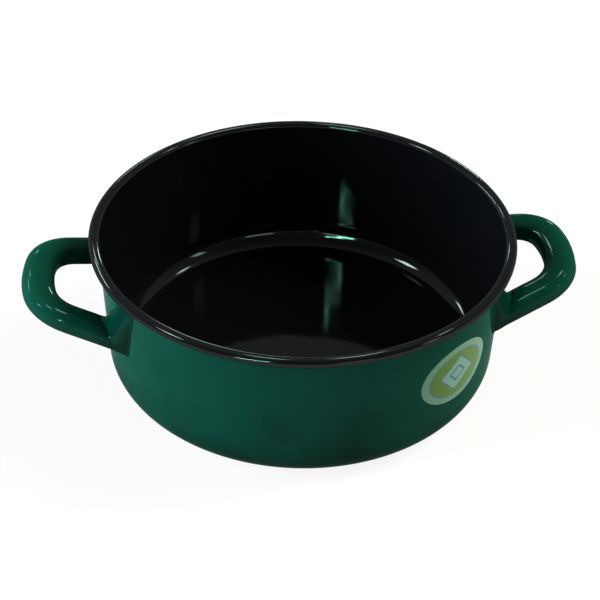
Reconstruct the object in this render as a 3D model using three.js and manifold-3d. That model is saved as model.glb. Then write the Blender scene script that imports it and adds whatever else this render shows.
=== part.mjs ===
// A low enamelled stockpot: a drawn steel vessel with a rolled rim, a green cover coat on its outside,
// and two hollow pressed-steel loop handles spot-welded under the rim. Millimetres, +Z up.
// The origin is the centre of the base, on the surface that the pot stands on, and the handles lie along X.
import * as THREE from "three";
import { mergeVertices } from "three/addons/utils/BufferGeometryUtils.js";
import Module from "manifold-3d";

// Vessel
const INNER_DIAMETER = 240;
const HEIGHT = 93;
const SHEET = 1.1;
const WALL_TAPER = THREE.MathUtils.degToRad(1.6);
const CORNER_RADIUS = 16.5;
const BASE_DISH = 1;
const FOOT_RING_WIDTH = 10;

// Rolled rim, measured over the outside of the roll
const RIM_WIDTH = 6.9;
const RIM_HEIGHT = 5.4;
const RIM_SLIT = 0.5;

// Green cover coat
const COAT = 0.3;
const COAT_BOND = 0.05;
const COAT_BELOW_RIM = 0.8;

// Loop of a handle, along its centreline
const HANDLE_BELOW_RIM = 37.5;
const HANDLE_RISE = THREE.MathUtils.degToRad(16);
const HANDLE_REACH = 39.2;
const LEG_SPACING = 86;
const LEG_LEAN = THREE.MathUtils.degToRad(17);
const LOOP_CORNER_RADIUS = 25.5;
const BAR_RADIUS = 77;

// Hollow section of a handle
const GRIP_WIDTH = 19;
const GRIP_HEIGHT = 10.5;
const GRIP_TOP_RADIUS = 6;
const GRIP_EDGE_RADIUS = 1.5;
const HANDLE_SHEET = 1.2;
const UNDERPLATE_SHEET = 1;
const UNDERPLATE_RECESS = 0.6;
const UNDERPLATE_FIT = 0.3;
const VENT_DIAMETER = 4;

// Welded feet of a handle: a plate on the wall with a margin round the leg,
// and a tab that rises from it towards the rim
const FOOT_GAP = 0.3;
const FOOT_INNER_MARGIN = 2;
const FOOT_OUTER_MARGIN = 1.1;
const FOOT_LOWER_MARGIN = 4;
const FOOT_SHOULDER_MARGIN = 1.5;
const FOOT_TAB_WIDTH = 13;
const FOOT_TAB_LEAN = 10.8;
const FOOT_BELOW_RIM = 5;
const FOOT_CORNER_RADIUS = 5;
const FOOT_COAT_GAP = 0.3;

// Spot welds between a foot and the wall
const WELD_DIAMETER = 4.4;
const WELD_CLEARANCE = 0.03;
const WELD_EDGE_DISTANCE = 6.5;

// Oval label on the front right of the wall
const LABEL_WIDTH = 57;
const LABEL_HEIGHT = 40;
const LABEL_SHEET = 0.25;
const LABEL_GLUE = 0.1;
const LABEL_DIRECTION = THREE.MathUtils.degToRad(-50);
const LABEL_TURN = THREE.MathUtils.degToRad(-7);
const LABEL_BELOW_RIM = 42.5;

// Facets
const TURN_SEGMENTS = 60;
const CORNER_STEPS = 8;
const BARE_CORNER_STEPS = 2;
const DISH_STEPS = 3;
const ROLL_STEPS = 10;
const LOOP_STEPS = 34;
const FILLET_STEPS = 3;
const OVAL_STEPS = 20;

const wasm = await Module();
wasm.setup();

// A closed three.js geometry as a solid that can be joined and cut.
function solid(geometry) {
  const bare = geometry.clone();
  bare.deleteAttribute("normal");
  bare.deleteAttribute("uv");
  const merged = mergeVertices(bare, 1e-4);
  return new wasm.Manifold(
    new wasm.Mesh({
      numProp: 3,
      vertProperties: new Float32Array(merged.attributes.position.array),
      triVerts: new Uint32Array(merged.index.array),
    }),
  );
}

// A joined or cut solid as a three.js geometry again.
function faceted(cut) {
  const { vertProperties, triVerts } = cut.getMesh();
  const geometry = new THREE.BufferGeometry();
  geometry.setAttribute("position", new THREE.BufferAttribute(vertProperties, 3));
  geometry.setIndex(new THREE.BufferAttribute(triVerts, 1));
  geometry.computeVertexNormals();
  return geometry;
}

// A profile of (radius, height) points turned round the pot's axis.
function revolve(profile) {
  const points = profile.map(([radius, height]) => new THREE.Vector2(radius, height));
  return new THREE.LatheGeometry(points, TURN_SEGMENTS).rotateX(Math.PI / 2);
}

// An outline in the (Y, Z) plane carried outwards along +X, from the pot's axis to beyond the rim.
function prism(outline, curveSegments) {
  const depth = INNER_DIAMETER / 2 + RIM_WIDTH;
  const bar = new THREE.ExtrudeGeometry(outline, { depth, curveSegments, bevelEnabled: false });
  const alongX = new THREE.Matrix4().makeBasis(
    new THREE.Vector3(0, 1, 0),
    new THREE.Vector3(0, 0, 1),
    new THREE.Vector3(1, 0, 0),
  );
  return bar.applyMatrix4(alongX);
}

// Points on an ellipse between two angles, both ends included.
function arc([x, y], [across, up], from, to, steps) {
  return Array.from({ length: steps + 1 }, (_, i) => {
    const angle = from + (to - from) * (i / Math.max(steps, 1));
    return [x + across * Math.cos(angle), y + up * Math.sin(angle)];
  });
}

const RIM_UNDERSIDE = HEIGHT - RIM_HEIGHT;
const RIM_CENTRE_HEIGHT = HEIGHT - RIM_HEIGHT / 2;

// Outer radius of the steel wall at a height.
function wallRadius(height) {
  return INNER_DIAMETER / 2 + SHEET - (RIM_CENTRE_HEIGHT - height) * Math.tan(WALL_TAPER);
}

const CORNER_CENTRE = [wallRadius(CORNER_RADIUS) - CORNER_RADIUS / Math.cos(WALL_TAPER), CORNER_RADIUS];

// The rounded corner between base and wall, at a distance outside the sheet's outer face.
function cornerArc(outside) {
  const radius = CORNER_RADIUS + outside;
  return arc(CORNER_CENTRE, [radius, radius], -Math.PI / 2, -WALL_TAPER, CORNER_STEPS);
}

// The dished base from the axis to the foot ring, at a height above the sheet's underside.
function dish(above) {
  const ringInside = CORNER_CENTRE[0] - FOOT_RING_WIDTH;
  return Array.from({ length: DISH_STEPS + 1 }, (_, i) => {
    const share = i / DISH_STEPS;
    return [ringInside * share, above + BASE_DISH * (1 - share * share)];
  });
}

// A band that follows the straight wall, between two distances outside the steel and two heights.
function wallBand(inside, outside, low, high) {
  return solid(
    revolve([
      [wallRadius(low) + inside, low],
      [wallRadius(low) + outside, low],
      [wallRadius(high) + outside, high],
      [wallRadius(high) + inside, high],
      [wallRadius(low) + inside, low],
    ]),
  );
}

// The vessel: one sheet from the centre of the base to the end of the outward roll of the rim, and back.
function vesselPressing() {
  const rollCentre = [INNER_DIAMETER / 2 + RIM_WIDTH / 2, RIM_CENTRE_HEIGHT];
  const over = [RIM_WIDTH / 2, RIM_HEIGHT / 2];
  const under = [over[0] - SHEET, over[1] - SHEET];
  const rollEnd = -Math.acos((SHEET + RIM_SLIT - over[0]) / over[0]);
  return revolve([
    ...dish(0),
    ...cornerArc(0),
    ...arc(rollCentre, under, Math.PI, rollEnd, ROLL_STEPS),
    ...arc(rollCentre, over, rollEnd, Math.PI, ROLL_STEPS),
    ...cornerArc(-SHEET).reverse(),
    ...dish(SHEET).reverse(),
  ]);
}

// The loop's plane leaves the wall at this height and radius,
// and a leg's centreline meets the wall nearer the pot's axis than that.
const LOOP_HEIGHT = HEIGHT - HANDLE_BELOW_RIM;
const LOOP_RADIUS = wallRadius(LOOP_HEIGHT);
const LEG_SIDE = LEG_SPACING / 2;
const LEG_DIRECTION = Math.asin(LEG_SIDE / LOOP_RADIUS);
const LEG_START = LOOP_RADIUS * Math.cos(LEG_DIRECTION) - LOOP_RADIUS;

// Centreline of a handle's loop in its own plane: x outwards from the wall, y along the bar.
class LoopCurve extends THREE.Curve {
  constructor() {
    super();
    const foot = new THREE.Vector2(LEG_START, LEG_SIDE);
    const along = new THREE.Vector2(Math.cos(LEG_LEAN), -Math.sin(LEG_LEAN));
    const inwards = new THREE.Vector2(-Math.sin(LEG_LEAN), -Math.cos(LEG_LEAN));
    const barCentre = new THREE.Vector2(HANDLE_REACH - BAR_RADIUS, 0);
    // The corner's centre lies one corner radius inside the leg, and its arc meets the bar's arc from inside.
    const offset = foot.clone().addScaledVector(inwards, LOOP_CORNER_RADIUS).sub(barCentre);
    const reach = offset.dot(along);
    const inside = BAR_RADIUS - LOOP_CORNER_RADIUS;
    const run = Math.sqrt(reach ** 2 - offset.lengthSq() + inside ** 2) - reach;
    const corner = offset.clone().addScaledVector(along, run);
    const turn = corner.angle();
    corner.add(barCentre);
    const legAngle = Math.PI / 2 - LEG_LEAN;
    const legEnd = corner.clone().addScaledVector(inwards, -LOOP_CORNER_RADIUS);
    const legStart = foot.clone().addScaledVector(along, -GRIP_WIDTH);
    this.path = new THREE.Path();
    this.path.moveTo(legStart.x, legStart.y);
    this.path.lineTo(legEnd.x, legEnd.y);
    this.path.absarc(corner.x, corner.y, LOOP_CORNER_RADIUS, legAngle, turn, true);
    this.path.absarc(barCentre.x, 0, BAR_RADIUS, turn, -turn, true);
    this.path.absarc(corner.x, -corner.y, LOOP_CORNER_RADIUS, -turn, -legAngle, true);
    this.path.lineTo(legStart.x, -legStart.y);
  }
  getPoint(t, target = new THREE.Vector3()) {
    const { x, y } = this.path.getPoint(t);
    return target.set(x, y, 0);
  }
}
const LOOP = new LoopCurve();

// Puts what is made in the loop's plane at its height on the wall, rising outwards.
function tilt(geometry) {
  return geometry.rotateY(-HANDLE_RISE).translate(LOOP_RADIUS, 0, LOOP_HEIGHT);
}

// A section of (side, up) points carried round the loop.
function sweep(section) {
  const shape = new THREE.Shape(section.map(([side, up]) => new THREE.Vector2(-up, side)));
  const carried = new THREE.ExtrudeGeometry(shape, { extrudePath: LOOP, steps: LOOP_STEPS });
  return solid(tilt(carried));
}

// Section of the grip: a flat top with well rounded edges and straight sides, between two heights.
// A corner of no radius is one sharp point.
function gripSection(halfWidth, bottom, top, topRadius, edgeRadius) {
  const corner = (side, up, radius, from) =>
    arc([side, up], [radius, radius], from, from + Math.PI / 2, radius > 0 ? FILLET_STEPS : 0);
  return [
    ...corner(halfWidth - edgeRadius, bottom + edgeRadius, edgeRadius, -Math.PI / 2),
    ...corner(halfWidth - topRadius, top - topRadius, topRadius, 0),
    ...corner(topRadius - halfWidth, top - topRadius, topRadius, Math.PI / 2),
    ...corner(edgeRadius - halfWidth, bottom + edgeRadius, edgeRadius, Math.PI),
  ];
}

// Corners of a foot as (y, z), round the print that the slanting leg leaves on the wall.
const FOOT_TOP = RIM_UNDERSIDE - FOOT_BELOW_RIM;
const LEG_HEIGHT = LOOP_HEIGHT + LEG_START * Math.tan(HANDLE_RISE);
const PRINT_HALF_WIDTH = ((GRIP_WIDTH / 2) * Math.cos(LEG_DIRECTION)) / Math.cos(LEG_DIRECTION + LEG_LEAN);
const PRINT_HALF_HEIGHT = GRIP_HEIGHT / 2 / Math.cos(HANDLE_RISE);
function footCorners(grow) {
  const inner = LEG_SIDE - PRINT_HALF_WIDTH - FOOT_INNER_MARGIN - grow;
  const outer = LEG_SIDE + PRINT_HALF_WIDTH + FOOT_OUTER_MARGIN + grow;
  const bottom = LEG_HEIGHT - PRINT_HALF_HEIGHT - FOOT_LOWER_MARGIN - grow;
  const shoulder = LEG_HEIGHT + PRINT_HALF_HEIGHT + FOOT_SHOULDER_MARGIN + grow;
  const tabOuter = outer + FOOT_TAB_LEAN;
  const tabInner = tabOuter - FOOT_TAB_WIDTH - 2 * grow;
  const top = FOOT_TOP + grow;
  return [[inner, bottom], [outer, bottom], [tabOuter, top], [tabInner, top], [inner, shoulder]];
}

// A foot's outline with its corners rounded, on the side of the handle that the sign gives.
function footOutline(sign, grow) {
  const corners = footCorners(grow).map(([y, z]) => new THREE.Vector2(sign * y, z));
  const outline = new THREE.Shape();
  corners.forEach((corner, i) => {
    const before = corners[(i + corners.length - 1) % corners.length];
    const after = corners[(i + 1) % corners.length];
    const towards = (other) => {
      const distance = Math.min(FOOT_CORNER_RADIUS, corner.distanceTo(other) / 2);
      return other.clone().sub(corner).setLength(distance).add(corner);
    };
    const start = towards(before);
    const end = towards(after);
    if (i === 0) outline.moveTo(start.x, start.y);
    else outline.lineTo(start.x, start.y);
    outline.quadraticCurveTo(corner.x, corner.y, end.x, end.y);
  });
  return outline;
}
const footPrism = (sign, grow = 0) => solid(prism(footOutline(sign, grow), FILLET_STEPS));

const SIDES = [1, -1];
const WALL_LOW = CORNER_RADIUS;
const FOOT_OUTSIDE = FOOT_GAP + HANDLE_SHEET;

// Everything inside the face that the feet lie on.
function insideOfFeet() {
  return solid(
    revolve([
      [0, WALL_LOW],
      [wallRadius(WALL_LOW) + FOOT_GAP, WALL_LOW],
      [wallRadius(RIM_UNDERSIDE) + FOOT_GAP, RIM_UNDERSIDE],
      [0, RIM_UNDERSIDE],
    ]),
  );
}

// The upper pressing of a handle: an open channel round the loop, with a foot plate at each end.
function handleTopShell() {
  const top = GRIP_HEIGHT / 2;
  const outside = gripSection(GRIP_WIDTH / 2, -top, top, GRIP_TOP_RADIUS, GRIP_EDGE_RADIUS);
  const channel = gripSection(
    GRIP_WIDTH / 2 - HANDLE_SHEET,
    -top - HANDLE_SHEET,
    top - HANDLE_SHEET,
    GRIP_TOP_RADIUS - HANDLE_SHEET,
    0,
  );
  const plates = wallBand(FOOT_GAP, FOOT_OUTSIDE, WALL_LOW, RIM_UNDERSIDE);
  return SIDES.reduce((shell, side) => shell.add(plates.intersect(footPrism(side))), sweep(outside))
    .subtract(sweep(channel))
    .subtract(insideOfFeet());
}

// The lower pressing of a handle: a flat plate in the mouth of the channel, with a vent in the bar.
function handleUnderplate() {
  const half = GRIP_WIDTH / 2 - HANDLE_SHEET - UNDERPLATE_FIT;
  const low = UNDERPLATE_RECESS - GRIP_HEIGHT / 2;
  const high = low + UNDERPLATE_SHEET;
  const vent = new THREE.CylinderGeometry(VENT_DIAMETER / 2, VENT_DIAMETER / 2, GRIP_HEIGHT, OVAL_STEPS);
  vent.rotateX(Math.PI / 2).translate(HANDLE_REACH, 0, low);
  return sweep([[-half, low], [half, low], [half, high], [-half, high]])
    .subtract(solid(tilt(vent)))
    .subtract(insideOfFeet());
}

// Places of a foot's two welds, as (y, z): one in the top of the tab, one above the leg.
function weldPlaces() {
  const [, , tabOuter, tabInner, shoulder] = footCorners(0);
  return [
    [(tabOuter[0] + tabInner[0]) / 2, FOOT_TOP - WELD_EDGE_DISTANCE],
    [shoulder[0] + 2 * WELD_EDGE_DISTANCE, shoulder[1] + WELD_EDGE_DISTANCE / 2],
  ];
}

// A weld: a disc of fused steel in the gap between a foot and the wall.
function spotWeld(sign, [y, z]) {
  const disc = new THREE.Shape().absarc(sign * y, z, WELD_DIAMETER / 2, 0, 2 * Math.PI);
  const gap = wallBand(WELD_CLEARANCE, FOOT_GAP - WELD_CLEARANCE, WALL_LOW, RIM_UNDERSIDE);
  return gap.intersect(solid(prism(disc, OVAL_STEPS / 2)));
}

// The cover coat: from under the rim's roll down the wall and round the corner,
// left open round the welded feet.
function coverCoat() {
  const top = RIM_UNDERSIDE - COAT_BELOW_RIM;
  const outside = COAT_BOND + COAT;
  const face = (distance) => [
    ...cornerArc(distance).slice(BARE_CORNER_STEPS),
    [wallRadius(top) + distance, top],
  ];
  const skin = revolve([...face(outside), ...face(COAT_BOND).reverse(), face(outside)[0]]);
  const windows = SIDES.map((side) => solid(prism(footOutline(side, FOOT_COAT_GAP), FILLET_STEPS)));
  const halfTurn = [0, 0, 180];
  return windows.reduce(
    (coat, window) => coat.subtract(window).subtract(window.rotate(halfTurn)),
    solid(skin),
  );
}

// The label: an oval of printed film glued on the coat.
function ovalLabel() {
  const middle = HEIGHT - LABEL_BELOW_RIM;
  const oval = new THREE.Shape().absellipse(
    0, middle, LABEL_WIDTH / 2, LABEL_HEIGHT / 2, 0, 2 * Math.PI, false, LABEL_TURN,
  );
  const inside = COAT_BOND + COAT + LABEL_GLUE;
  const film = wallBand(inside, inside + LABEL_SHEET, WALL_LOW, RIM_UNDERSIDE);
  return film.intersect(solid(prism(oval, OVAL_STEPS).rotateZ(LABEL_DIRECTION)));
}

const blackEnamel = new THREE.MeshStandardMaterial({ color: 0x0a0b0a, roughness: 0.12, metalness: 0 });
const greenEnamel = new THREE.MeshStandardMaterial({ color: 0x0b3d31, roughness: 0.15, metalness: 0 });
const bareSteel = new THREE.MeshStandardMaterial({ color: 0x6d6f70, roughness: 0.5, metalness: 1 });
const printedFilm = new THREE.MeshStandardMaterial({ color: 0x6b8a63, roughness: 0.35, metalness: 0 });

function piece(name, geometry, material) {
  const mesh = new THREE.Mesh(geometry, material);
  mesh.name = name;
  return mesh;
}

function handle(side) {
  const group = new THREE.Group();
  group.add(piece(`${side}_handle_top_shell`, faceted(handleTopShell()), greenEnamel));
  group.add(piece(`${side}_handle_underplate`, faceted(handleUnderplate()), greenEnamel));
  for (const [foot, sign] of [["a", -1], ["b", 1]]) {
    weldPlaces().forEach((place, i) => {
      group.add(piece(`${side}_foot_${foot}_weld_${i + 1}`, faceted(spotWeld(sign, place)), bareSteel));
    });
  }
  return group;
}

const pot = new THREE.Group();
pot.add(piece("vessel_pressing", vesselPressing(), blackEnamel));
pot.add(piece("green_cover_coat", faceted(coverCoat()), greenEnamel));
const rightHandle = handle("right");
const leftHandle = handle("left");
leftHandle.rotation.z = Math.PI;
pot.add(rightHandle, leftHandle);
pot.add(piece("oval_label", faceted(ovalLabel()), printedFilm));

export default pot;
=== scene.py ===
import math

import bmesh
import bpy
import numpy as np
from mathutils import Matrix, Vector


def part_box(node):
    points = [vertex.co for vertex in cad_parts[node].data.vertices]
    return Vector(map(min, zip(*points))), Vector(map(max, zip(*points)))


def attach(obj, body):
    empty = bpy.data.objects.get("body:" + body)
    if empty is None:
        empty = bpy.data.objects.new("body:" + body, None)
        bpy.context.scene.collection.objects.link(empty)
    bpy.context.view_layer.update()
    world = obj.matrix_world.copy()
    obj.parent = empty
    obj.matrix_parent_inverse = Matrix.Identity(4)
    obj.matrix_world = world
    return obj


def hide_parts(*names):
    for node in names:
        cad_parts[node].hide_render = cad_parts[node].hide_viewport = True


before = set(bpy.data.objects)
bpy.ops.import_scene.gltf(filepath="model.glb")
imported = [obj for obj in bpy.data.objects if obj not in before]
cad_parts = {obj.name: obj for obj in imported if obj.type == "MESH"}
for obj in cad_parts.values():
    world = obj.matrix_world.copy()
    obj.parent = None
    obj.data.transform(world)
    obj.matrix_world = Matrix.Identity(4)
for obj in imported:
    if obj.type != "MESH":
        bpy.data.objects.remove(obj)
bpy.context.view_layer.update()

# Vessel: one sheet of steel drawn into a low pot with a dished base, its edge rolled outwards
# into a hollow rim. A glossy black ground coat of enamel is fired all over it and stays bare
# on the inside, on the rim and under the base.
vessel_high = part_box("vessel_pressing")[1]
HEIGHT = vessel_high.z
RIM_RADIUS = vessel_high.y
RIM_WIDTH = 0.0069
RIM_HEIGHT = 0.0054
RIM_SLIT = 0.0005
SHEET = 0.0011
WALL_TAPER = math.radians(1.6)
CORNER_RADIUS = 0.0165
BASE_DISH = 0.001
FOOT_RING_WIDTH = 0.010
STEPS_ROUND = 320
DISH_STEPS = 30
CORNER_STEPS = 28
WALL_STEPS = 26
ROLL_STEPS = 56

inner_radius = RIM_RADIUS - RIM_WIDTH
rim_middle = (RIM_RADIUS - RIM_WIDTH / 2, HEIGHT - RIM_HEIGHT / 2)
rim_underside = HEIGHT - RIM_HEIGHT


def wall_radius(height):
    """Outer radius of the steel wall: from the rim down it shrinks by the tangent of the taper."""
    return inner_radius + SHEET - (rim_middle[1] - height) * math.tan(WALL_TAPER)


corner_middle = (wall_radius(CORNER_RADIUS) - CORNER_RADIUS / math.cos(WALL_TAPER), CORNER_RADIUS)


def arc(middle, radii, start, end, steps):
    """Points of an ellipse from one angle to another, as rows of (radius, height)."""
    angle = np.linspace(start, end, steps)
    return np.column_stack((middle[0] + radii[0] * np.cos(angle), middle[1] + radii[1] * np.sin(angle)))


def line(start, end, steps):
    """Evenly spaced points between two (radius, height) points, without the ends."""
    share = np.linspace(0, 1, steps + 2)[1:-1, None]
    return np.asarray(start) * (1 - share) + np.asarray(end) * share


def corner(outside):
    """The rounded corner between base and wall, at a distance outside the sheet's outer face."""
    radius = CORNER_RADIUS + outside
    return arc(corner_middle, (radius, radius), -math.pi / 2, -WALL_TAPER, CORNER_STEPS)


def dish(above):
    """The base from its middle to the foot ring: a shallow parabola, at a height above the underside."""
    share = np.linspace(0, 1, DISH_STEPS)
    ring_inside = corner_middle[0] - FOOT_RING_WIDTH
    return np.column_stack((ring_inside * share, above + BASE_DISH * (1 - share**2)))


def vessel_section():
    """The sheet's section: from the middle of the floor up the inside, over the roll and down the outside."""
    half = (RIM_WIDTH / 2, RIM_HEIGHT / 2)
    roll_end = -math.acos((SHEET + RIM_SLIT) / half[0] - 1)
    roll = arc(rim_middle, half, math.pi, roll_end, ROLL_STEPS)
    slit_top = roll[-1, 1] + 2 * RIM_SLIT
    wall_top = (wall_radius(slit_top), slit_top)
    inside, outside = corner(-SHEET), corner(0)
    return np.vstack((
        dish(SHEET),
        inside,
        line(inside[-1], roll[0], WALL_STEPS),
        roll,
        [(wall_top[0] + RIM_SLIT, slit_top)],
        [wall_top],
        line(wall_top, outside[-1], WALL_STEPS),
        outside[::-1],
        dish(0)[::-1],
    ))


CREASE = math.radians(50)
WELD_DISTANCE = 1e-7


def surface(name, grid, wrap_rows=False, wrap_columns=False):
    """A piece from a grid of points: four neighbours make a face, doubled points are merged into one."""
    rows, columns = grid.shape[:2]
    index = np.arange(rows * columns).reshape(rows, columns)
    if wrap_rows:
        index = np.vstack((index, index[:1]))
    if wrap_columns:
        index = np.hstack((index, index[:, :1]))
    quads = np.stack((index[:-1, :-1], index[1:, :-1], index[1:, 1:], index[:-1, 1:]), axis=-1)
    mesh = bpy.data.meshes.new(name)
    mesh.from_pydata(grid.reshape(-1, 3).tolist(), [], quads.reshape(-1, 4).tolist())
    shell = bmesh.new()
    shell.from_mesh(mesh)
    bmesh.ops.remove_doubles(shell, verts=shell.verts, dist=WELD_DISTANCE)
    bmesh.ops.recalc_face_normals(shell, faces=shell.faces)
    shell.to_mesh(mesh)
    shell.free()
    mesh.shade_smooth()
    mesh.set_sharp_from_angle(angle=CREASE)
    piece = bpy.data.objects.new(name, mesh)
    bpy.context.scene.collection.objects.link(piece)
    return piece


def turned(name, section):
    """A section turned round the pot's axis: every point keeps its height and goes round at its radius."""
    turn = np.linspace(0, 2 * math.pi, STEPS_ROUND, endpoint=False)
    radius, height = section.T
    grid = np.stack((
        np.outer(np.cos(turn), radius),
        np.outer(np.sin(turn), radius),
        np.tile(height, (STEPS_ROUND, 1)),
    ), axis=-1)
    return surface(name, grid, wrap_rows=True)


def add(tree, kind, inputs=(), **settings):
    """Adds a shader node, sets its properties, and sets or links its named inputs."""
    made = tree.nodes.new(kind)
    for key, value in settings.items():
        setattr(made, key, value)
    for key, value in dict(inputs).items():
        if isinstance(value, bpy.types.NodeSocket):
            tree.links.new(value, made.inputs[key])
        else:
            made.inputs[key].default_value = value
    return made


def noise(tree, place, scale, detail):
    """A soft noise of so many features to the metre, a slice of one with four dimensions."""
    inputs = {"Vector": place, "Scale": scale, "Detail": detail}
    return add(tree, "ShaderNodeTexNoise", inputs, noise_dimensions="4D").outputs["Fac"]


def colour_ramp(tree, factor, stops):
    """Linear colours that pass into each other: each stop is a value of the factor and its colour."""
    ramp = add(tree, "ShaderNodeValToRGB", {"Fac": factor})
    elements = ramp.color_ramp.elements
    while len(elements) < len(stops):
        elements.new(1)
    for element, (position, colour) in zip(elements, stops):
        element.position = position
        element.color = (*colour, 1)
    return ramp.outputs["Color"]


def remap(tree, factor, low, high, start=0.3, end=0.7):
    """A number that goes from low to high as the factor rises from start to end, or across a noise."""
    inputs = {"Value": factor, "From Min": start, "From Max": end, "To Min": low, "To Max": high}
    return add(tree, "ShaderNodeMapRange", inputs).outputs["Result"]


def start_material(name):
    """A new material: its node tree, its shader, and the object's own coordinates."""
    material = bpy.data.materials.new(name)
    material.use_nodes = True
    tree = material.node_tree
    place = add(tree, "ShaderNodeTexCoord").outputs["Object"]
    return material, tree, tree.nodes["Principled BSDF"], place


# Painted shade low on the pot: the cover is lowered between these heights above the base.
BASE_SHADE_FROM = 0.004
BASE_SHADE_TO = 0.056
BASE_SHADE_DEPTH = 0.5


def painted_shade_at_base(tree, place):
    """Painted shade towards the base: by height, the cover drops towards the darkest shade low on the pot."""
    height = add(tree, "ShaderNodeSeparateXYZ", {0: place}).outputs["Z"]
    return remap(tree, height, -BASE_SHADE_DEPTH, 0, start=BASE_SHADE_FROM, end=BASE_SHADE_TO)


COVER_STOPS = (0, 0.35, 0.65)
DRIFT_SCALE = 26
PINHOLE_SCALE = 160
PINHOLE_SHADE = 0.35
PINHOLE_START = 0.03
PINHOLE_END = 0.09
GLOSS_SCALE = 70
GLOSSY_DULLNESS = 0.045
DULL_DULLNESS = 0.1
COAT_DULLNESS = 0.07
RIPPLE_SCALE = 34
RIPPLE_HEIGHT = 0.00012
PEEL_SCALE = 620
PEEL_HEIGHT = 0.0000045
GLANCE_TINT = (0.12, 0.62, 0.50)


def enamel(name, shades, metal, coat, coat_index, painted_shade):
    """Fired enamel: glassy, with a slow drift of shade from a bare to a thin to a full coat, painted shade
    from the given mask that pulls the cover towards the bare shade, a ripple that bends what it mirrors, and
    a fine orange peel with a few pinholes."""
    material, tree, glass, place = start_material(name)
    drift = noise(tree, place, DRIFT_SCALE, detail=3)
    # The cover is the coat's random drift plus the painted shade.
    cover = add(tree, "ShaderNodeMath", {0: drift, 1: painted_shade(tree, place)}, operation="ADD").outputs[0]
    colour = colour_ramp(tree, cover, tuple(zip(COVER_STOPS, shades)))
    cells = add(tree, "ShaderNodeTexVoronoi", {"Vector": place, "Scale": PINHOLE_SCALE}).outputs["Distance"]
    pinhole = remap(tree, cells, PINHOLE_SHADE, 1, start=PINHOLE_START, end=PINHOLE_END)
    pitted = add(tree, "ShaderNodeMix", {"Factor": pinhole, 6: colour, 7: pinhole},
                 data_type="RGBA", blend_type="MULTIPLY")
    tree.links.new(pitted.outputs[2], glass.inputs["Base Color"])
    gloss = noise(tree, place, GLOSS_SCALE, detail=4)
    tree.links.new(remap(tree, gloss, GLOSSY_DULLNESS, DULL_DULLNESS), glass.inputs["Roughness"])
    ripple = noise(tree, place, RIPPLE_SCALE, detail=1)
    waves = add(tree, "ShaderNodeBump", {"Height": ripple, "Strength": 1, "Distance": RIPPLE_HEIGHT})
    peel = noise(tree, place, PEEL_SCALE, detail=2)
    skin = add(tree, "ShaderNodeBump",
               {"Height": peel, "Strength": 1, "Distance": PEEL_HEIGHT, "Normal": waves.outputs["Normal"]})
    tree.links.new(skin.outputs["Normal"], glass.inputs["Normal"])
    tree.links.new(skin.outputs["Normal"], glass.inputs["Coat Normal"])
    glass.inputs["Specular IOR Level"].default_value = 0
    glass.inputs["Specular Tint"].default_value = (*GLANCE_TINT, 1)
    glass.inputs["Metallic"].default_value = metal
    glass.inputs["Coat Weight"].default_value = coat
    glass.inputs["Coat Roughness"].default_value = COAT_DULLNESS
    glass.inputs["Coat IOR"].default_value = coat_index
    return material


BLACK_SHADES = ((0.0040, 0.0044, 0.0052), (0.0034, 0.0041, 0.0052), (0.0026, 0.0034, 0.0046))
BLACK_COAT = 0.090
BLACK_COAT_INDEX = 3.0
# The painted base shade is given to the black as well, where it moves the lowest parts towards its first
# shade.
black_enamel = enamel("black_ground_enamel", BLACK_SHADES, 0, BLACK_COAT, BLACK_COAT_INDEX, painted_shade_at_base)

vessel = turned("vessel", vessel_section())
vessel.data.materials.append(black_enamel)
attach(vessel, "root")
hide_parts("vessel_pressing")

# Green cover coat: a second enamel, sprayed on the outside only and fired over the black. It ends
# in a thin soft edge under the rim's roll and, a little unevenly, on the lower corner.
COAT = 0.0003
COAT_BOND = 0.00005
COAT_BELOW_RIM = 0.0008
COAT_EDGE = 0.0016
BARE_CORNER = math.radians(22)
EDGE_WANDER = math.radians(2.5)
LONG_WAVES = 5
SHORT_WAVES = 13
SHORT_WAVE_SHARE = 0.6
COAT_STEPS = 40


def coat_grid():
    """The coat's outer face down the wall and round the corner, then its inner face back up. The lower edge
    wanders with the angle as a sum of two waves. At both edges the thickness fades as a quarter circle."""
    turn = np.linspace(0, 2 * math.pi, STEPS_ROUND, endpoint=False)[:, None]
    wander = EDGE_WANDER * (np.sin(LONG_WAVES * turn + 1) + SHORT_WAVE_SHARE * np.sin(SHORT_WAVES * turn))
    share = np.linspace(0, 1, COAT_STEPS)[None, :]
    angle = -WALL_TAPER + (wander + BARE_CORNER - math.pi / 2 + WALL_TAPER) * share
    top = rim_underside - COAT_BELOW_RIM
    bend = corner_middle[1] - CORNER_RADIUS * math.sin(WALL_TAPER)
    height = np.repeat(np.linspace(top, bend, COAT_STEPS)[None, :-1], STEPS_ROUND, axis=0)
    from_top = np.hstack((top - height, top - bend + CORNER_RADIUS * (-WALL_TAPER - angle)))
    from_edge = np.minimum(from_top, from_top[:, -1:] - from_top)
    rounding = np.clip(from_edge / COAT_EDGE, 0, 1)
    fade = np.sqrt(rounding * (2 - rounding))

    def face(thickness):
        """The steel's wall and corner with a thickness added, turned round the axis."""
        straight = thickness[:, :height.shape[1]]
        round_part = CORNER_RADIUS + thickness[:, height.shape[1]:]
        radius = np.hstack((wall_radius(height) + straight, corner_middle[0] + round_part * np.cos(angle)))
        level = np.hstack((height, corner_middle[1] + round_part * np.sin(angle)))
        return np.stack((radius * np.cos(turn), radius * np.sin(turn), level), axis=-1)

    outer = face(COAT_BOND + COAT * fade)
    inner = face(np.full_like(fade, COAT_BOND / 2))
    return np.concatenate((outer, inner[:, ::-1]), axis=1)


GREEN_SHADES = ((0.0010, 0.0350, 0.0240), (0.0020, 0.0740, 0.0495), (0.0028, 0.0840, 0.0565))
GREEN_METAL = 0.16
GREEN_COAT = 0.07
GREEN_COAT_INDEX = 1.5
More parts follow.
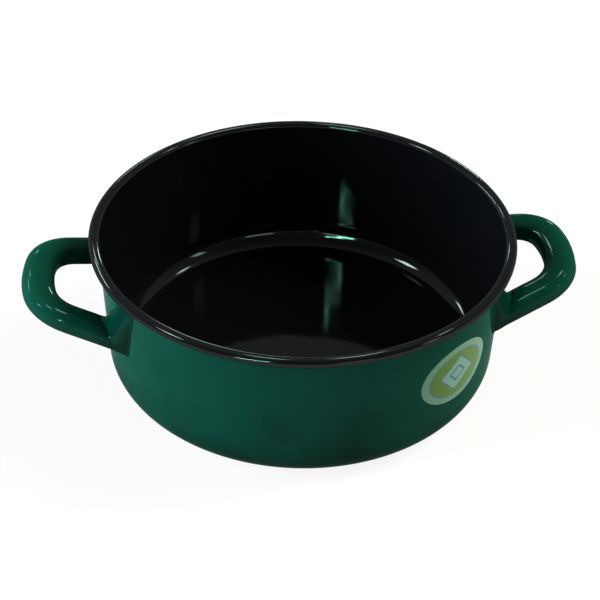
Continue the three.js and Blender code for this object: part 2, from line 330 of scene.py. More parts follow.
# Painted shade darkens the green low on the wall, towards the base.
green_enamel = enamel("green_cover_enamel", GREEN_SHADES, GREEN_METAL, GREEN_COAT, GREEN_COAT_INDEX,
                      painted_shade_at_base)

coat = surface("cover_coat", coat_grid(), wrap_rows=True, wrap_columns=True)
coat.data.materials.append(green_enamel)
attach(coat, "root")
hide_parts("green_cover_coat")

# Handles: each is a channel pressed from sheet, bent into a loop and flared at both ends into a foot
# plate that lies on the wall, with a tab up towards the rim. Feet are spot-welded to the bare wall and
# enamelled over, so that every edge is soft and runs out in the coat. Shade is painted on the enamel near the
# wall.
handle_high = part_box("right_handle_top_shell")[1]
HANDLE_BELOW_RIM = 0.0375
HANDLE_RISE = math.radians(16)
LEG_SPACING = 0.086
LEG_LEAN = math.radians(17)
LOOP_CORNER_RADIUS = 0.0255
BAR_RADIUS = 0.077
BEND_EASE = 0.006
GRIP_WIDTH = 0.019
GRIP_HEIGHT = 0.0105
GRIP_SHOULDER = 0.0062
GRIP_SQUARENESS = 2.5
GRIP_EDGE_RADIUS = 0.0015
HANDLE_SHEET = 0.0012
FOOT_GAP = 0.0003
FOOT_SHEET = 0.0007
FOOT_INNER_MARGIN = 0.002
FOOT_OUTER_MARGIN = 0.0011
FOOT_LOWER_MARGIN = 0.004
FOOT_SHOULDER_MARGIN = 0.0015
FOOT_TAB_WIDTH = 0.013
FOOT_TAB_LEAN = 0.0108
FOOT_BELOW_RIM = 0.005
FOOT_CORNER_RADIUS = 0.009
FOOT_EDGE = 0.0014
FOOT_SWELL = 0.5
FOOT_SWELL_LIMIT = 0.005
FILLET_ON_LEG = 0.008
FILLET_SHARE = 0.97
CHANNEL_RUN_OUT = 0.006
# The first handle shade is the dark end of the painted shade at the feet.
HANDLE_SHADES = ((0.0011, 0.0370, 0.0255), *GREEN_SHADES[1:])
HANDLE_METAL = 0.04
HANDLE_COAT = 0.025
HANDLE_COAT_INDEX = 3.0
# Painted shade at the feet: the handle enamel darkens towards the wall between these distances out from it.
FOOT_SHADE_START = 0.005
FOOT_SHADE_END = 0.019
FOOT_SHADE_DEPTH = 0.7
LIP_STEP = 0.0001
HOLLOW_CORNER = 0.0015
HOLLOW_CORNER_DEPTH = 0.5
TOUCHING = 1e-6
SHOULDER_STEPS = 25
SHOULDER_SIDE_STEPS = 11
GRIP_SIDE_STEPS = 6
GRIP_EDGE_STEPS = 7
HOLLOW_STEPS = 9
BEND_STEPS = 40
LEG_STEPS = 16
FILLET_STEPS = 25
PLATE_STEPS = 4
FOOT_EDGE_STEPS = 9
WALL_TRIES = 12

loop_height = HEIGHT - HANDLE_BELOW_RIM
loop_radius = wall_radius(loop_height)
grip_half = GRIP_WIDTH / 2
# The bar's lower outside edge reaches furthest from the pot, so it gives the reach of the centreline.
edge_reach = GRIP_EDGE_RADIUS + (GRIP_HEIGHT / 2 - GRIP_EDGE_RADIUS) * math.sin(HANDLE_RISE)
HANDLE_REACH = ((handle_high.x - loop_radius - edge_reach) / math.cos(HANDLE_RISE)
                - grip_half + GRIP_EDGE_RADIUS)

leg_side = LEG_SPACING / 2
leg_direction = math.asin(leg_side / loop_radius)
leg_foot = np.array((loop_radius * (math.cos(leg_direction) - 1), leg_side))
leg_along = np.array((math.cos(LEG_LEAN), -math.sin(LEG_LEAN)))
leg_outwards = np.array((math.sin(LEG_LEAN), math.cos(LEG_LEAN)))


def loop_lengths():
    """Lengths of half the bar, of a corner and of a leg. The corner's circle touches the leg's line, one
    radius inside it, and the bar's circle from within; where its middle lies gives all three."""
    bar_middle = np.array((HANDLE_REACH - BAR_RADIUS, 0))
    offset = leg_foot - leg_outwards * LOOP_CORNER_RADIUS - bar_middle
    back = offset @ leg_along
    run = math.sqrt(back**2 - offset @ offset + (BAR_RADIUS - LOOP_CORNER_RADIUS) ** 2) - back
    middle = offset + leg_along * run
    bar_turn = math.atan2(middle[1], middle[0])
    corner_turn = math.pi / 2 - LEG_LEAN - bar_turn
    return BAR_RADIUS * bar_turn, LOOP_CORNER_RADIUS * corner_turn, run


bar_half, corner_length, leg_length = loop_lengths()
loop_half = bar_half + corner_length + leg_length

# The centreline from the middle of the bar to a foot: the curvature of bar, corner and leg, eased
# where they meet, is summed into the heading and the heading into the place.
loop_step = 0.00005
loop_at = np.arange(-loop_half, loop_half, loop_step)
bend = np.where(np.abs(loop_at) < bar_half, 1 / BAR_RADIUS,
                np.where(np.abs(loop_at) < bar_half + corner_length, 1 / LOOP_CORNER_RADIUS, 0))
ease_steps = int(BEND_EASE / loop_step)
bend = np.convolve(bend, np.ones(ease_steps) / ease_steps, mode="same")
loop_at, bend = loop_at[loop_at >= 0], bend[loop_at >= 0]
loop_heading = math.pi / 2 + np.cumsum(bend) * loop_step
loop_x = HANDLE_REACH + np.cumsum(np.cos(loop_heading)) * loop_step
loop_y = np.cumsum(np.sin(loop_heading)) * loop_step


def tilted(across, along, up):
    """Points of the loop's own plane and above it, put on the wall: the plane rises outwards."""
    return np.stack((
        loop_radius + across * math.cos(HANDLE_RISE) - up * math.sin(HANDLE_RISE),
        along + 0 * up,
        loop_height + across * math.sin(HANDLE_RISE) + up * math.cos(HANDLE_RISE),
    ), axis=-1)


def carried(at, side, up):
    """A section of (side, up) points carried along half the loop to the given lengths."""
    heading = np.interp(at, loop_at, loop_heading)[:, None]
    across = np.interp(at, loop_at, loop_x)[:, None] + side * np.sin(heading)
    along = np.interp(at, loop_at, loop_y)[:, None] - side * np.cos(heading)
    return tilted(across, along, up)


def on_wall(y, z, outside):
    """A point of the wall given by its distance from the handle's middle plane and its height."""
    radius = wall_radius(z) + outside
    return np.stack((np.sqrt(radius**2 - y**2), y, z), axis=-1)


def channel_section():
    """The channel's section as (side, up) points with the share of its four sides that each has passed,
    from the outside edge at the bottom, up, over the top, down and back inside the channel. The top is a
    superellipse, rounder than a box and squarer than an ellipse. The last column says how far the channel's
    hollow lies above a plain flat underside."""
    top, low = GRIP_HEIGHT / 2, -GRIP_HEIGHT / 2
    quarter = math.pi / 2
    mirror = np.array((-1, 1))
    power = 2 / GRIP_SQUARENESS
    angle = np.linspace(0, quarter, SHOULDER_STEPS)
    shoulder = np.column_stack((grip_half * np.cos(angle) ** power,
                                top - GRIP_SHOULDER + GRIP_SHOULDER * np.sin(angle) ** power))
    outside = line((grip_half, low + GRIP_EDGE_RADIUS), shoulder[0], GRIP_SIDE_STEPS)
    edge_middle = (grip_half - GRIP_EDGE_RADIUS, low + GRIP_EDGE_RADIUS)
    edge = arc(edge_middle, (GRIP_EDGE_RADIUS,) * 2, -quarter, 0, GRIP_EDGE_STEPS)
    inner = grip_half - HANDLE_SHEET
    lip = np.array(((-inner, low), (-inner, low + LIP_STEP)))
    across = np.linspace(-inner, inner, HOLLOW_STEPS)
    hollow = np.column_stack((across, np.full(HOLLOW_STEPS, low + 2 * LIP_STEP)))
    upright, over = shoulder[:SHOULDER_SIDE_STEPS], shoulder[SHOULDER_SIDE_STEPS:]
    sides = (
        np.vstack((outside, upright)),
        np.vstack((over, over[:-1][::-1] * mirror)),
        np.vstack((upright[::-1] * mirror, outside[::-1] * mirror)),
        np.vstack((edge[::-1] * mirror, lip, hollow, lip[::-1] * mirror, edge)),
    )
    points = np.vstack(sides)
    share = np.concatenate([
        passed + np.linspace(0, 1, len(side), endpoint=False) for passed, side in enumerate(sides)
    ])
    depth = np.where(points[:, 1] > low + 1.5 * LIP_STEP, GRIP_HEIGHT - HANDLE_SHEET, 0) * (share >= 3)
    depth[np.abs(points[:, 0]) > inner - HOLLOW_CORNER] *= HOLLOW_CORNER_DEPTH
    depth[np.abs(points[:, 0]) > inner + TOUCHING] = 0
    return points[:, 0], points[:, 1], share, depth


def foot_outline():
    """Outline of a foot as (y, z) points with their share of its four sides: the outside edge, the tab and
    its slope, the inside edge and the bottom. A moving average along the outline rounds its corners."""
    print_wide = grip_half * math.cos(leg_direction) / math.cos(leg_direction + LEG_LEAN)
    print_high = GRIP_HEIGHT / 2 / math.cos(HANDLE_RISE)
    leg_height = loop_height + leg_foot[0] * math.tan(HANDLE_RISE)
    inside = leg_side - print_wide - FOOT_INNER_MARGIN
    outside = leg_side + print_wide + FOOT_OUTER_MARGIN
    bottom = leg_height - print_high - FOOT_LOWER_MARGIN
    shoulder = leg_height + print_high + FOOT_SHOULDER_MARGIN
    top = rim_underside - FOOT_BELOW_RIM
    tab = outside + FOOT_TAB_LEAN
    corners = np.array(((outside, bottom), (tab, top), (tab - FOOT_TAB_WIDTH, top), (inside, shoulder),
                        (inside, bottom), (outside, bottom)))
    lengths = np.concatenate(([0], np.cumsum(np.linalg.norm(np.diff(corners, axis=0), axis=1))))
    step = 0.0002
    at = np.arange(0, lengths[-1], step)
    window = int(FOOT_CORNER_RADIUS / step)
    ring = np.column_stack([np.interp(at, lengths, column) for column in corners.T])
    rounded = np.column_stack([
        np.convolve(np.concatenate((column[-window:], column, column[:window])),
                    np.ones(window) / window, mode="same")[window:-window]
        for column in ring.T
    ])
    share = np.interp(at, lengths[[0, 1, 3, 4, 5]], np.arange(5))
    return rounded, share


def half_handle():
    """Half a top shell, from the middle of the bar to the closed underside of its foot. Newton's method finds
    where each line along the leg meets the wall. The line falls through a quadratic curve to the foot's
    outline, swelling above the plate by a share of its way there, and drops over the edge into the coat."""
    side, up, share, depth = channel_section()
    straight = bar_half + corner_length + BEND_EASE / 2
    at = np.concatenate((np.linspace(0, bar_half, BEND_STEPS)[:-1],
                         np.linspace(bar_half, straight, BEND_STEPS)))
    rows = [carried(at, side, up + depth)]
    leg_start = rows[0][-1] - depth[:, None] * np.array((-math.sin(HANDLE_RISE), 0, math.cos(HANDLE_RISE)))
    inwards = tilted(-leg_along[0], -leg_along[1], 0) - tilted(0, 0, 0)
    plate = FOOT_GAP + FOOT_SHEET
    reach = np.full(len(side), leg_length)
    for _ in range(WALL_TRIES):
        point = leg_start + reach[:, None] * inwards
        radius = np.hypot(point[:, 0], point[:, 1])
        slope = (point[:, 0] * inwards[0] + point[:, 1] * inwards[1]) / radius
        slope = slope - inwards[2] * math.tan(WALL_TAPER)
        reach = reach - (radius - wall_radius(point[:, 2]) - plate) / slope
    print_edge = leg_start + reach[:, None] * inwards
    leg_end = leg_start + (reach - FILLET_ON_LEG)[:, None] * inwards

    hollow = np.array((-math.sin(HANDLE_RISE), 0, math.cos(HANDLE_RISE))) * depth[:, None]
    for along in np.linspace(0, 1, LEG_STEPS)[1:]:
        to_end = (1 - along) * (reach - FILLET_ON_LEG)
        left = np.clip(to_end / CHANNEL_RUN_OUT, 0, 1)
        ease = left * left * (3 - 2 * left)
        rows.append((leg_start * (1 - along) + leg_end * along + hollow * ease[:, None])[None])

    outline, outline_share = foot_outline()
    edge_y, edge_z = (np.interp(share, outline_share, column, period=4) for column in outline.T)
    tangent = np.gradient(outline, axis=0)
    normal = np.column_stack((tangent[:, 1], -tangent[:, 0]))
    normal = normal / np.linalg.norm(normal, axis=1)[:, None]
    normal_y, normal_z = (np.interp(share, outline_share, column, period=4) for column in normal.T)
    away_y = edge_y - FOOT_EDGE * normal_y - print_edge[:, 1]
    away_z = edge_z - FOOT_EDGE * normal_z - print_edge[:, 2]
    away = np.hypot(away_y, away_z)
    swell = np.minimum(FOOT_SWELL * away, FOOT_SWELL_LIMIT)
    knee = on_wall(print_edge[:, 1], print_edge[:, 2], plate + swell)

    def on_plate(part):
        """The plate's face at a share of the way from the leg's print to the rounded edge."""
        return on_wall(print_edge[:, 1] + part * away_y, print_edge[:, 2] + part * away_z, plate)

    for t in np.linspace(0, 1, FILLET_STEPS)[1:]:
        curve = (1 - t) ** 2 * leg_end + 2 * t * (1 - t) * knee + t**2 * on_plate(FILLET_SHARE)
        rows.append(curve[None])
    for t in np.linspace(0, 1, PLATE_STEPS)[1:]:
        rows.append(on_plate(FILLET_SHARE + (1 - FILLET_SHARE) * t)[None])
    for t in np.linspace(0, 1, FOOT_EDGE_STEPS)[1:]:
        fall = t * t * (3 - 2 * t)
        level = plate + (COAT_BOND - plate) * fall
        outwards = (t - 1) * FOOT_EDGE
        rows.append(on_wall(edge_y + outwards * normal_y, edge_z + outwards * normal_z, level)[None])
    middle_y, middle_z = edge_y.mean(), edge_z.mean()
    for t in (0.5, 1):
        y = edge_y * (1 - t) + middle_y * t
        z = edge_z * (1 - t) + middle_z * t
        rows.append(on_wall(y, z, COAT_BOND)[None])
    return np.concatenate(rows)


def whole_handle(half):
    """The half and its mirror image across the handle's middle plane, joined at the middle of the bar."""
    mirrored = half[:0:-1] * np.array((1, -1, 1))
    return np.concatenate((mirrored, half))


shell_grid = whole_handle(half_handle())
half_turn = np.array((-1, -1, 1))


def painted_shade_at_feet(tree, place):
    """Painted shade where the handles meet the wall: by distance from the pot's axis, the cover drops towards
    the darkest shade near the feet.
    """
    flat = add(tree, "ShaderNodeVectorMath", {0: place, 1: (1, 1, 0)}, operation="MULTIPLY").outputs[0]
    out = add(tree, "ShaderNodeVectorMath", {0: flat}, operation="LENGTH").outputs["Value"]
    start, end = loop_radius + FOOT_SHADE_START, loop_radius + FOOT_SHADE_END
    return remap(tree, out, -FOOT_SHADE_DEPTH, 0, start, end)


# The handle enamel carries painted shade near the wall.
handle_enamel = enamel("green_handle_enamel", HANDLE_SHADES, HANDLE_METAL, HANDLE_COAT, HANDLE_COAT_INDEX,
                       painted_shade_at_feet)
for name, grid in (("right", shell_grid), ("left", shell_grid * half_turn)):
    shell = surface(f"{name}_handle_shell", grid, wrap_columns=True)
    shell.data.materials.append(handle_enamel)
    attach(shell, "root")
    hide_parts(f"{name}_handle_top_shell")

# Underplates: the flat strip that closes each channel from below, set a little inside its lips. A vent
# in the middle of the bar lets the air out when the enamel is fired.
UNDERPLATE_SHEET = 0.001
UNDERPLATE_RECESS = 0.0006
UNDERPLATE_FIT = 0.0003
UNDERPLATE_EDGE = 0.0003
VENT_RADIUS = 0.002
VENT_DEPTH = 0.0008
VENT_LIP = 0.0002
STRIP_ON_LEG = 1 / 3
STRIP_EDGE_STEPS = 5
STRIP_UNDER_STEPS = 59
STRIP_OVER_STEPS = 11
VENT_STEPS = 18
BAR_STEPS = 24


def half_underplate():
    """Half a strip: a flat section with rounded edges carried to where the channel runs out, its lower face
    pressed up round the vent by a smooth step of the distance from the vent's middle."""
    half = grip_half - HANDLE_SHEET - UNDERPLATE_FIT
    low = UNDERPLATE_RECESS - GRIP_HEIGHT / 2
    high = low + UNDERPLATE_SHEET
    flat = half - UNDERPLATE_EDGE
    quarter = math.pi / 2
    right = np.vstack((
        arc((flat, low + UNDERPLATE_EDGE), (UNDERPLATE_EDGE,) * 2, -quarter, 0, STRIP_EDGE_STEPS),
        arc((flat, high - UNDERPLATE_EDGE), (UNDERPLATE_EDGE,) * 2, 0, quarter, STRIP_EDGE_STEPS),
    ))
    under = line((-flat, low), (flat, low), STRIP_UNDER_STEPS)
    over = line((flat, high), (-flat, high), STRIP_OVER_STEPS)
    left = right[::-1] * np.array((-1, 1))
    side, up = np.vstack((under, right, over, left)).T
    near = 2 * VENT_RADIUS
    end = bar_half + corner_length + leg_length * STRIP_ON_LEG
    at = np.concatenate((np.linspace(0, near, VENT_STEPS)[:-1], np.linspace(near, bar_half, BAR_STEPS)[:-1],
                         np.linspace(bar_half, end, BEND_STEPS)))
    distance = np.hypot(at[:, None], side[None, :])
    step = np.clip((VENT_RADIUS + VENT_LIP - distance) / (2 * VENT_LIP), 0, 1)
    vent = VENT_DEPTH * step * step * (3 - 2 * step) * (up < low + UNDERPLATE_EDGE / 2)
    rows = carried(at, side, up + vent)
    closed = np.broadcast_to(rows[-1].mean(axis=0), rows[-1:].shape)
    return np.concatenate((rows, closed))


plate_grid = whole_handle(half_underplate())
for name, grid in (("right", plate_grid), ("left", plate_grid * half_turn)):
    strip = surface(f"{name}_handle_strip", grid, wrap_columns=True)
    strip.data.materials.append(handle_enamel)
    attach(strip, "root")
    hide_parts(f"{name}_handle_underplate")

# Spot welds: discs of fused steel between each foot and the wall, out of sight under the enamel.
# The solids stay as they are and get a bare steel finish.
STEEL_DARK = (0.18, 0.17, 0.16)
STEEL_LIGHT = (0.42, 0.42, 0.43)
STEEL_PATCH_SCALE = 900
STEEL_DULL = 0.55
STEEL_BRIGHT = 0.3


def fused_steel():
    """Bare fused steel: grey, heat-tinted in patches, with an uneven sheen."""
    material, tree, metal, place = start_material("fused_steel")
    patches = noise(tree, place, STEEL_PATCH_SCALE, detail=4)
    tint = colour_ramp(tree, patches, ((0.3, STEEL_DARK), (0.7, STEEL_LIGHT)))
    tree.links.new(tint, metal.inputs["Base Color"])
    tree.links.new(remap(tree, patches, STEEL_DULL, STEEL_BRIGHT), metal.inputs["Roughness"])
    metal.inputs["Metallic"].default_value = 1
    return material


weld_steel = fused_steel()
for name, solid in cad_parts.items():
    if "_weld_" in name:
        solid.data.materials.clear()
        solid.data.materials.append(weld_steel)

# Oval label: a printed film glued on the front right of the wall. A pale silver-green border and a thin
# blue line frame an olive field, with a plain pale lozenge in the middle.
LABEL_WIDTH = 0.057
LABEL_HEIGHT = 0.040
LABEL_BELOW_RIM = 0.0425
LABEL_DIRECTION = math.radians(-50)
LABEL_TURN = math.radians(-7)
LABEL_FILM = 0.00025
LABEL_EDGE = 0.0003
OVAL_STEPS = 160
FACE_STEPS = 40
EDGE_STEPS = 5
BACK_STEPS = 10

label_middle = HEIGHT - LABEL_BELOW_RIM


def label_grid():
    """An oval from its middle to its edge, laid on the coat, with a rounded edge and a flat back. The oval
    is turned in its plane and thrown on the wall along the label's direction."""
    turn = np.linspace(0, 2 * math.pi, OVAL_STEPS, endpoint=False)[None, :]
    under = COAT_BOND + COAT
    edge = np.linspace(0, math.pi / 2, EDGE_STEPS)
    face, back = np.linspace(0, 1, FACE_STEPS), np.linspace(1, 0, BACK_STEPS)[1:]
    share = np.concatenate((face, np.ones(EDGE_STEPS - 1), back))
    inset = np.concatenate((0 * face[1:], np.sin(edge) - 1, 0 * back)) * LABEL_EDGE
    level = np.concatenate((np.ones(FACE_STEPS), np.cos(edge[1:]), 0 * back)) * LABEL_FILM + under
    share, inset, level = share[:, None], inset[:, None], level[:, None]
    across = (share * LABEL_WIDTH / 2 + inset) * np.cos(turn)
    up = (share * LABEL_HEIGHT / 2 + inset) * np.sin(turn)
    y = across * math.cos(LABEL_TURN) - up * math.sin(LABEL_TURN)
    z = label_middle + across * math.sin(LABEL_TURN) + up * math.cos(LABEL_TURN)
    radius = wall_radius(z) + level
    x = np.sqrt(radius**2 - y**2)
    return np.stack((
        x * math.cos(LABEL_DIRECTION) - y * math.sin(LABEL_DIRECTION),
        x * math.sin(LABEL_DIRECTION) + y * math.cos(LABEL_DIRECTION),
        z,
    ), axis=-1)


FILM_BORDER = (0.20, 0.46, 0.32)
FILM_BLUE = (0.10, 0.24, 0.26)
FILM_OLIVE = (0.13, 0.29, 0.030)
FILM_PALE = (0.26, 0.56, 0.46)
FILM_EDGE = 0.008
FILM_GLOSS = 0.12
LOZENGE_WIDTH = 0.62
LOZENGE_HEIGHT = 0.72
FIELD_END = 0.76
BORDER_START = 0.80
HEART_END = 0.30
HEART_LINE_END = 0.42
LOZENGE_END = 0.80
LOZENGE_LINE_END = 0.88
MOTIF_END = 0.94
MOTIF_EDGE = 0.01
GRAIN_SCALE = 900
GRAIN_DARK = 0.9
GRAIN_LIGHT = 1.08
GRAIN_HEIGHT = 0.000008
SATIN_SCALE = 240
SATIN_GLOSSY = 0.26
SATIN_DULL = 0.4


def printed_film():
    """Satin film: the distance from the oval's middle, as a share of its size, picks the colours of the
    border and its line, and the sum of the distances across and up picks those of the lozenge."""
    material, tree, film, place = start_material("printed_film")
    faced = add(tree, "ShaderNodeMapping",
                {"Vector": place, "Rotation": (0, 0, -LABEL_DIRECTION), "Location": (0, 0, -label_middle)})
    level = add(tree, "ShaderNodeMapping", {"Vector": faced.outputs[0], "Rotation": (-LABEL_TURN, 0, 0)})
    share_of_oval = (0, 2 / LABEL_WIDTH, 2 / LABEL_HEIGHT)
    share_of_lozenge = (0, 1 / LOZENGE_WIDTH, 1 / LOZENGE_HEIGHT)
    oval = add(tree, "ShaderNodeVectorMath", {0: level.outputs[0], 1: share_of_oval}, operation="MULTIPLY")
    out = add(tree, "ShaderNodeVectorMath", {0: oval.outputs[0]}, operation="LENGTH").outputs["Value"]
    across = add(tree, "ShaderNodeVectorMath", {0: oval.outputs[0]}, operation="ABSOLUTE")
    lozenge = add(tree, "ShaderNodeVectorMath", {0: across.outputs[0], 1: share_of_lozenge},
                  operation="DOT_PRODUCT").outputs["Value"]

    def bands(factor, starts):
        """Flat colours with narrow soft edges: each starts at a share of the oval's size."""
        stops = [starts[0]]
        for (_, before), (start, colour) in zip(starts, starts[1:]):
            stops += [(start - FILM_EDGE, before), (start + FILM_EDGE, colour)]
        return colour_ramp(tree, factor, stops)

    rings = bands(out, ((0, FILM_OLIVE), (FIELD_END, FILM_BLUE), (BORDER_START, FILM_BORDER)))
    motif = bands(lozenge, ((0, FILM_PALE), (HEART_END, FILM_BLUE), (HEART_LINE_END, FILM_PALE),
                            (LOZENGE_END, FILM_BLUE), (LOZENGE_LINE_END, FILM_OLIVE)))
    within = remap(tree, lozenge, 1, 0, start=MOTIF_END, end=MOTIF_END + MOTIF_EDGE)
    printed = add(tree, "ShaderNodeMix", {"Factor": within, 6: rings, 7: motif}, data_type="RGBA")
    grain = remap(tree, noise(tree, place, GRAIN_SCALE, detail=2), GRAIN_DARK, GRAIN_LIGHT)
    inked = add(tree, "ShaderNodeMix", {"Factor": 1.0, 6: printed.outputs[2], 7: grain},
                data_type="RGBA", blend_type="MULTIPLY")
    tree.links.new(inked.outputs[2], film.inputs["Base Color"])
    satin = noise(tree, place, SATIN_SCALE, detail=2)
    tree.links.new(remap(tree, satin, SATIN_GLOSSY, SATIN_DULL), film.inputs["Roughness"])
    fibre = add(tree, "ShaderNodeBump", {"Height": grain, "Strength": 1, "Distance": GRAIN_HEIGHT})
    tree.links.new(fibre.outputs["Normal"], film.inputs["Normal"])
    film.inputs["Specular IOR Level"].default_value = FILM_GLOSS
    return material


label = surface("oval_film", label_grid(), wrap_columns=True)
label.data.materials.append(printed_film())
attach(label, "root")
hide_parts("oval_label")

# Studio: a plain white floor, a white surround near the horizon under a ceiling that is dimmer on the
# camera's side, three soft lamps that light the enamel's body, and small panels and two bent strips that
# draw the bright dashes on its gloss.
FLOOR_SIZE = 30.0
FLOOR_DROP = 0.0002
FLOOR_WHITE = (0.16, 0.16, 0.16)
FLOOR_GLOW = 0.88
CAMERA_TURN = math.radians(-7.7)

floor_mesh = bpy.data.meshes.new("floor")
floor_half = FLOOR_SIZE / 2
floor_signs = ((-1, -1), (1, -1), (1, 1), (-1, 1))
floor_corners = [(x * floor_half, y * floor_half, -FLOOR_DROP) for x, y in floor_signs]
floor_mesh.from_pydata(floor_corners, [], [(0, 1, 2, 3)])
floor = bpy.data.objects.new("floor", floor_mesh)
bpy.context.scene.collection.objects.link(floor)
floor_paint = bpy.data.materials.new("floor_paint")
floor_paint.use_nodes = True
floor_tree = floor_paint.node_tree
floor_tree.nodes.clear()


def seen_directly(tree):
    """One for what the camera sees itself, in a mirror or through glass, and nothing for lighting."""
    path = add(tree, "ShaderNodeLightPath").outputs
    seen = path["Is Camera Ray"]
    for ray in ("Is Glossy Ray", "Is Transmission Ray"):
        seen = add(tree, "ShaderNodeMath", {0: seen, 1: path[ray]}, operation="MAXIMUM").outputs[0]
    return seen


glow = add(floor_tree, "ShaderNodeMath", {0: seen_directly(floor_tree), 1: FLOOR_GLOW}, operation="MULTIPLY")
glowing = add(floor_tree, "ShaderNodeEmission", {"Color": (1, 1, 1, 1), "Strength": glow.outputs[0]})
painted = add(floor_tree, "ShaderNodeBsdfDiffuse", {"Color": (*FLOOR_WHITE, 1)})
both = add(floor_tree, "ShaderNodeAddShader", {0: glowing.outputs[0], 1: painted.outputs[0]})
add(floor_tree, "ShaderNodeOutputMaterial", {"Surface": both.outputs[0]})
floor.data.materials.append(floor_paint)

SURROUND_SEEN = (1.0, 1.0, 1.0)
CEILING_BEHIND = (0.40, 0.45, 0.395)
CEILING_NEAR = (0.12, 0.13, 0.12)
CEILING_TURN_START = -0.3
CEILING_TURN_END = 0.4
SURROUND_LIT = (0.08, 0.08, 0.08)
CEILING_LIT = (0.07, 0.07, 0.07)
HORIZON_END = math.sin(math.radians(8))
CEILING_START = math.sin(math.radians(26))


def direction(turn, rise):
    """Unit vector towards a point at an angle round from the camera's side and an angle above the floor."""
    turn = turn + CAMERA_TURN
    return Vector((math.sin(turn) * math.cos(rise), -math.cos(turn) * math.cos(rise), math.sin(rise)))


world = bpy.data.worlds.new("studio")
bpy.context.scene.world = world
world.use_nodes = True
sky = world.node_tree
sky.nodes.clear()
look = add(sky, "ShaderNodeTexCoord").outputs["Generated"]
rise = add(sky, "ShaderNodeSeparateXYZ", {0: look}).outputs["Z"]
behind = add(sky, "ShaderNodeVectorMath", {0: look, 1: direction(math.pi, 0)}, operation="DOT_PRODUCT")
behind = remap(sky, behind.outputs["Value"], 0, 1, start=CEILING_TURN_START, end=CEILING_TURN_END)
ceiling = colour_ramp(sky, behind, ((0, CEILING_NEAR), (1, CEILING_BEHIND)))
overhead = remap(sky, rise, 0, 1, start=HORIZON_END, end=CEILING_START)
shown_colour = add(sky, "ShaderNodeMix", {"Factor": overhead, 6: (*SURROUND_SEEN, 1), 7: ceiling},
                   data_type="RGBA")
shown = add(sky, "ShaderNodeBackground", {"Color": shown_colour.outputs[2]})
lit_colour = colour_ramp(sky, rise, ((HORIZON_END, SURROUND_LIT), (CEILING_START, CEILING_LIT)))
ambient = add(sky, "ShaderNodeBackground", {"Color": lit_colour})
either = add(sky, "ShaderNodeMixShader",
             {0: seen_directly(sky), 1: ambient.outputs[0], 2: shown.outputs[0]})
add(sky, "ShaderNodeOutputWorld", {"Surface": either.outputs[0]})

PANEL_DISTANCE = 8.0
PANEL_WHITE = (0.74, 1.0, 0.91)
PANEL_TEAL = (0.32, 1.0, 0.74)
pot_middle = Vector((0, 0, HEIGHT / 2))


def aim(obj, towards):
    """Points an object's -Z axis along a direction."""
    obj.rotation_mode = "QUATERNION"
    obj.rotation_quaternion = towards.to_track_quat("-Z", "Y")


def panel(name, turn, rise, wide, high, radiance):
    """A bright panel that faces the pot, at a turn and rise from there and so many degrees wide and high. Its
    power is pi times its area times its radiance."""
    width, height = (2 * PANEL_DISTANCE * math.tan(math.radians(angle) / 2) for angle in (wide, high))
    lamp = bpy.data.lights.new(name, "AREA")
    lamp.shape = "RECTANGLE"
    lamp.size, lamp.size_y = width, height
    lamp.energy = math.pi * width * height * radiance
    lamp.color = PANEL_WHITE
    obj = bpy.data.objects.new(name, lamp)
    bpy.context.scene.collection.objects.link(obj)
    way = direction(math.radians(turn), math.radians(rise))
    obj.location = pot_middle + way * PANEL_DISTANCE
    aim(obj, -way)
    obj.visible_camera = False
    obj.visible_diffuse = False


panel("panel_near_left", -21, 26, 14, 2.5, 11)
panel("panel_near_right", 27, 26, 16, 6, 4.3)
panel("panel_right", 72, 34, 6, 11, 7)
panel("panel_right_high", 116, 55, 6, 4, 19)
panel("panel_left", -87, 51, 8, 8, 33)
panel("panel_far_left", -132, 33, 18, 3, 38)
panel("panel_behind", 166, 19, 4, 4, 80)
panel("panel_behind_slot", 178.6, 12, 2.2, 10, 18)
panel("panel_behind_left", -156, 35.5, 5, 3, 26)
panel("panel_behind_low", -168, 27, 4, 3, 36)
panel("panel_overhead", 169, 57, 5, 5, 30)
panel("panel_overhead_left", -167, 68, 6, 6, 21)

STRIP_WIDTH = 2.1
STRIP_GLOW = 255
STRIP_WAVE = 5.2
STRIP_STEPS = 24
LOW_STRIP = (27.2, 33.5, -27.5, 4.0, 31.3)
HIGH_STRIP = (36.0, 41.2, -21.0, 4.6, 40.4)
BOTH_SIDES = np.array((-1, 1))


def strip_grid(low, high, middle, sway, crest):
    """A bent strip seen from the pot, a fixed angle wide: from its low to its high end, its turn sways about
    its middle as a cosine of the rise that is greatest at the crest. All are in degrees."""
    rise = np.linspace(low, high, STRIP_STEPS)[:, None] + 0 * BOTH_SIDES
    turn = middle + sway * np.cos(2 * math.pi * (rise - crest) / STRIP_WAVE) + STRIP_WIDTH / 2 * BOTH_SIDES
    turn, rise = np.radians(turn) + CAMERA_TURN, np.radians(rise)
    way = np.stack((np.sin(turn) * np.cos(rise), -np.cos(turn) * np.cos(rise), np.sin(rise)), axis=-1)
    return np.array(pot_middle) + PANEL_DISTANCE * way


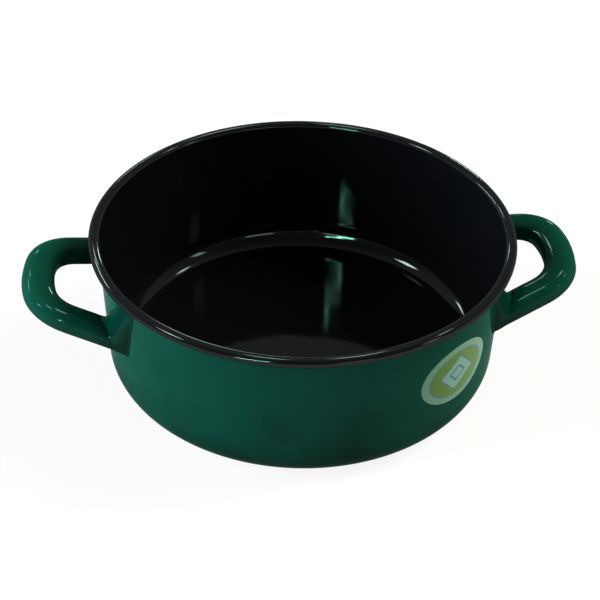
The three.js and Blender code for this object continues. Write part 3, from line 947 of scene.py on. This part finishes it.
strip_glass = bpy.data.materials.new("strip_glass")
strip_glass.use_nodes = True
strip_tree = strip_glass.node_tree
strip_tree.nodes.clear()
strip_glow = add(strip_tree, "ShaderNodeEmission", {"Color": (*PANEL_TEAL, 1), "Strength": STRIP_GLOW})
add(strip_tree, "ShaderNodeOutputMaterial", {"Surface": strip_glow.outputs[0]})
for name, bends in (("low_strip", LOW_STRIP), ("high_strip", HIGH_STRIP)):
    strip = surface(name, strip_grid(*bends))
    strip.data.materials.append(strip_glass)
    strip.visible_camera = False
    strip.visible_diffuse = False
    strip.visible_shadow = False


def soft_sun(name, turn, rise, softness, strength, colour):
    """A broad soft lamp that lights the enamel's body and isn't mirrored in its gloss."""
    lamp = bpy.data.lights.new(name, "SUN")
    lamp.energy = strength
    lamp.color = colour
    lamp.angle = math.radians(softness)
    obj = bpy.data.objects.new(name, lamp)
    obj.visible_glossy = False
    bpy.context.scene.collection.objects.link(obj)
    aim(obj, -direction(math.radians(turn), math.radians(rise)))


soft_sun("soft_key", -86, 14, 50, 5.4, (1.0, 1.0, 1.0))
soft_sun("warm_fill", 112, 40, 30, 2.7, (1.0, 0.94, 0.74))
soft_sun("front_fill", 58, 18, 40, 0.50, (1.0, 1.0, 1.0))

# Camera: a little left of the front, looking down into the pot, with a slight roll, at the distance and
# lens that give the rim's ellipse its shape.
CAMERA_RISE = math.radians(34.115)
CAMERA_DISTANCE = 0.7984
LOOK_DOWN = math.radians(37.292)
LOOK_ASIDE = math.radians(0.0743)
CAMERA_ROLL = math.radians(1.27)
LENS = 80.45
SENSOR = 36.0
CLIP_NEAR = 0.01
CLIP_FAR = 100

camera_data = bpy.data.cameras.new("camera")
camera_data.sensor_width = SENSOR
camera_data.lens = LENS
camera_data.clip_start, camera_data.clip_end = CLIP_NEAR, CLIP_FAR
camera = bpy.data.objects.new("camera", camera_data)
bpy.context.scene.collection.objects.link(camera)
camera.location = Vector((0, 0, HEIGHT)) + direction(0, CAMERA_RISE) * CAMERA_DISTANCE
turn_round = Matrix.Rotation(CAMERA_TURN + LOOK_ASIDE, 4, "Z")
camera.rotation_mode = "QUATERNION"
camera.rotation_quaternion = (
    turn_round @ Matrix.Rotation(math.pi / 2 - LOOK_DOWN, 4, "X") @ Matrix.Rotation(CAMERA_ROLL, 4, "Z")
).to_quaternion()
bpy.context.scene.camera = camera
bpy.context.scene.view_settings.view_transform = "Standard"
